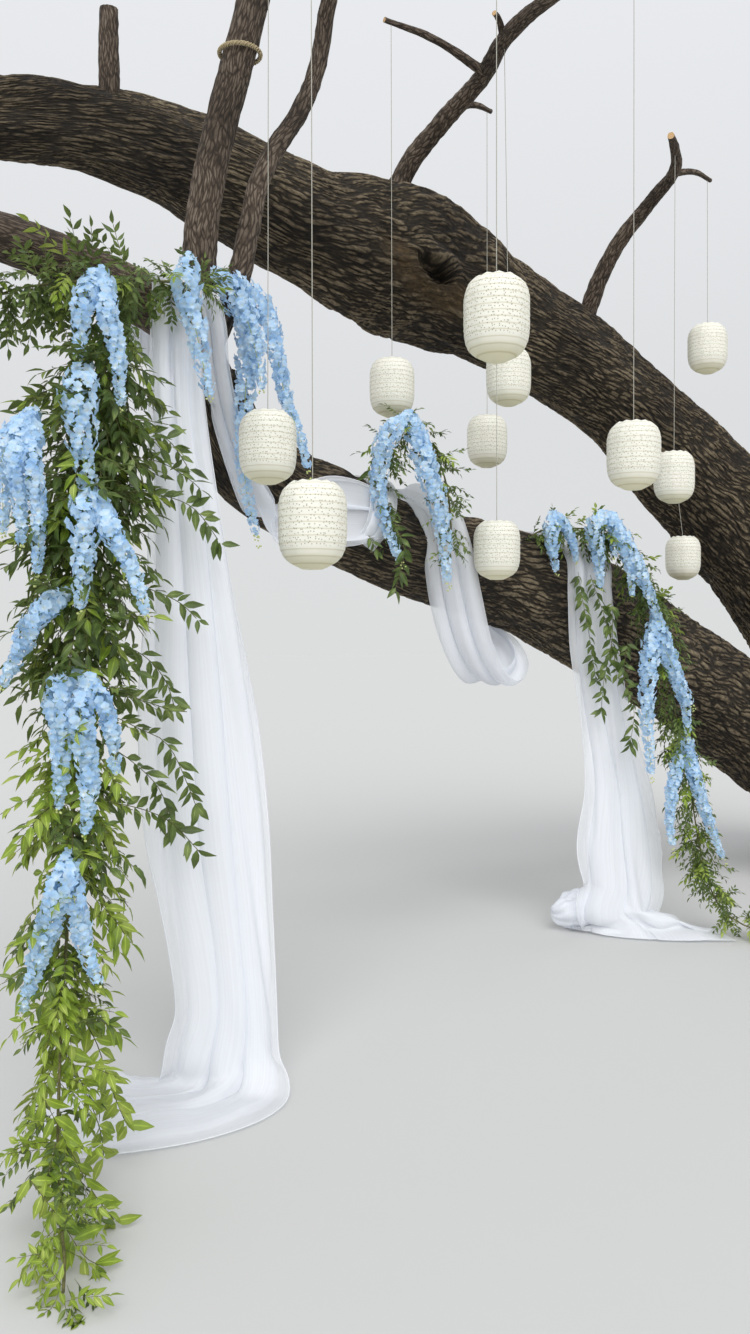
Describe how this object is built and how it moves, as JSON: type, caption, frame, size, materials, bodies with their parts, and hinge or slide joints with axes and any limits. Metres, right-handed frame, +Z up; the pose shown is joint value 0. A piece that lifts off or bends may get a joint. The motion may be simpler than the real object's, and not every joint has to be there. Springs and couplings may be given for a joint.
{
  "type": "wedding arbor",
  "caption": "Rustic arch of two bark-covered timber limbs from one foot, hung with sheer white drapes, leafy garlands, blue wisteria and barrel lanterns.",
  "frame": {"origin": "middle of the foot's flat underside, at ground level", "axes": "+X along the arbor line away from the aisle, -Y towards the side that guests walk in from, +Z up"},
  "size_m": [7.1826, 2.5817, 4.4459],
  "materials": {
    "bark": "deeply furrowed grey-brown bark",
    "stem_bark": "finer grey-brown bark",
    "chiffon": "sheer matt polyester chiffon",
    "leaf": "printed artificial foliage, satin",
    "wisteria": "artificial silk petals, matt",
    "lantern_nylon": "perforated nylon over wire ribs",
    "cord": "thin twisted twine and hanger wire",
    "rope": "laid natural-fibre rope"
  },
  "bodies": {
    "root": {"centre_garland": "leaf", "far_stem": "stem_bark", "lantern_1": "lantern_nylon", "lantern_10": "lantern_nylon", "lantern_11": "lantern_nylon", "lantern_2": "lantern_nylon", "lantern_3": "lantern_nylon", "lantern_4": "lantern_nylon", "lantern_5": "lantern_nylon", "lantern_6": "lantern_nylon", "lantern_7": "lantern_nylon", "lantern_8": "lantern_nylon", "lantern_9": "lantern_nylon", "lantern_cord_1": "cord", "lantern_cord_10": "cord", "lantern_cord_11": "cord", "lantern_cord_2": "cord", "lantern_cord_3": "cord", "lantern_cord_4": "cord", "lantern_cord_5": "cord", "lantern_cord_6": "cord", "lantern_cord_7": "cord", "lantern_cord_8": "cord", "lantern_cord_9": "cord", "left_branch": "stem_bark", "left_drape": "chiffon", "left_garland_lower": "leaf", "left_garland_top": "leaf", "left_garland_upper": "leaf", "left_stem": "stem_bark", "limb_wrap_drape": "chiffon", "link_drape": "chiffon", "lower_limb": "bark", "overhead_branch_middle": "stem_bark", "overhead_branch_right": "stem_bark", "right_drape": "chiffon", "right_garland_lower": "leaf", "right_garland_upper": "leaf", "right_stem": "stem_bark", "rope_tie": "rope", "swag_drape": "chiffon", "trunk_foot": "bark", "upper_limb": "bark", "wisteria_centre": "wisteria", "wisteria_left_1": "wisteria", "wisteria_left_2": "wisteria", "wisteria_left_3": "wisteria", "wisteria_left_4": "wisteria", "wisteria_left_5": "wisteria", "wisteria_left_6": "wisteria", "wisteria_left_7": "wisteria", "wisteria_right_1": "wisteria", "wisteria_right_2": "wisteria", "wisteria_right_3": "wisteria", "wisteria_right_4": "wisteria", "wisteria_top_1": "wisteria", "wisteria_top_2": "wisteria"}
  },
  "joints": []
}
